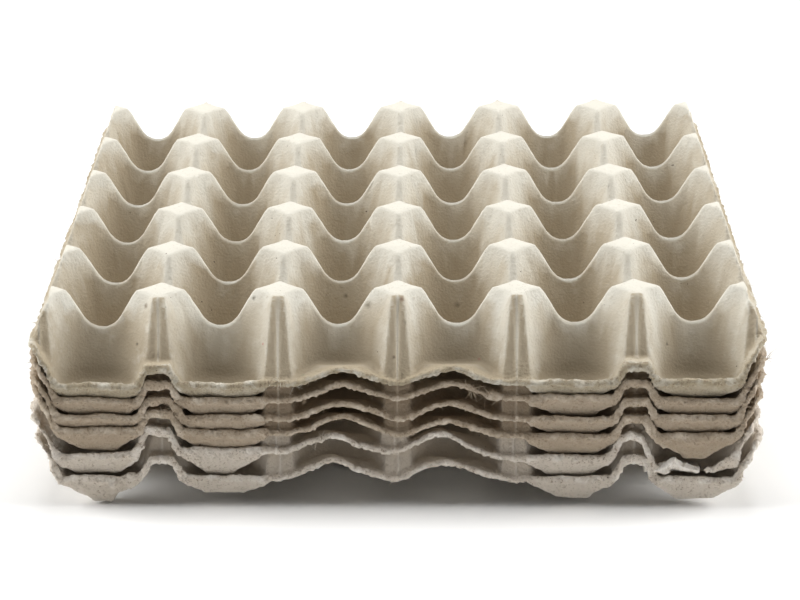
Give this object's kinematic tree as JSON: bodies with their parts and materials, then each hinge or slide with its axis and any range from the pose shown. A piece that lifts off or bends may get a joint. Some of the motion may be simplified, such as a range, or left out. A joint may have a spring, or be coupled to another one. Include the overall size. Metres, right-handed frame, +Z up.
{
  "type": "stack of egg trays",
  "caption": "Stack of nested moulded pulp egg trays with flat post tops between rounded cups, waved front edges and straight side rims.",
  "frame": {"origin": "centre of the stack's outline on the plane it stands on", "axes": "+Z up, -Y toward the front border that the picture shows, +X to the right seen from the front"},
  "size_m": [0.2964, 0.2954, 0.0862],
  "materials": {
    "light_pulp": "matte, rough moulded pulp",
    "brown_pulp": "matte, rough moulded pulp",
    "grey_pulp": "matte, rough moulded pulp"
  },
  "bodies": {
    "root": {"top_tray": "light_pulp", "second_tray": "brown_pulp", "third_tray": "brown_pulp", "fourth_tray": "brown_pulp", "fifth_tray": "grey_pulp", "bottom_tray": "grey_pulp"}
  },
  "joints": []
}
